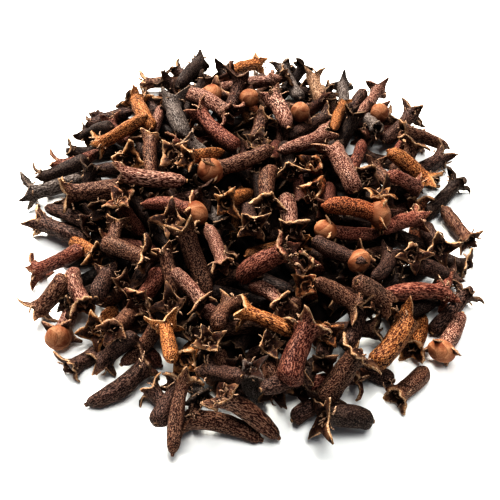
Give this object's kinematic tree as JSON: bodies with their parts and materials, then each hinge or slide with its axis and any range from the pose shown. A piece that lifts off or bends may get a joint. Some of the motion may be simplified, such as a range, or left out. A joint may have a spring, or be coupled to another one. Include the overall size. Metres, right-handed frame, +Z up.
{
  "type": "heap of whole cloves",
  "caption": "Low, slightly oval heap of dried whole cloves, lying loose on a flat surface, with single cloves sticking out round its foot.",
  "frame": {"origin": "middle of the flat underside of the heap's box, on the surface it lies on", "axes": "+Z up; +X to the right and -Y towards the viewer who faces the heap; the heap is a little longer along Y, and no side is a true front"},
  "size_m": [0.1074, 0.1202, 0.0198],
  "materials": {
    "dried_clove": "dry, wrinkled, satin dark brown"
  },
  "bodies": {
    "root": {"clove_heap": "dried_clove"}
  },
  "joints": []
}
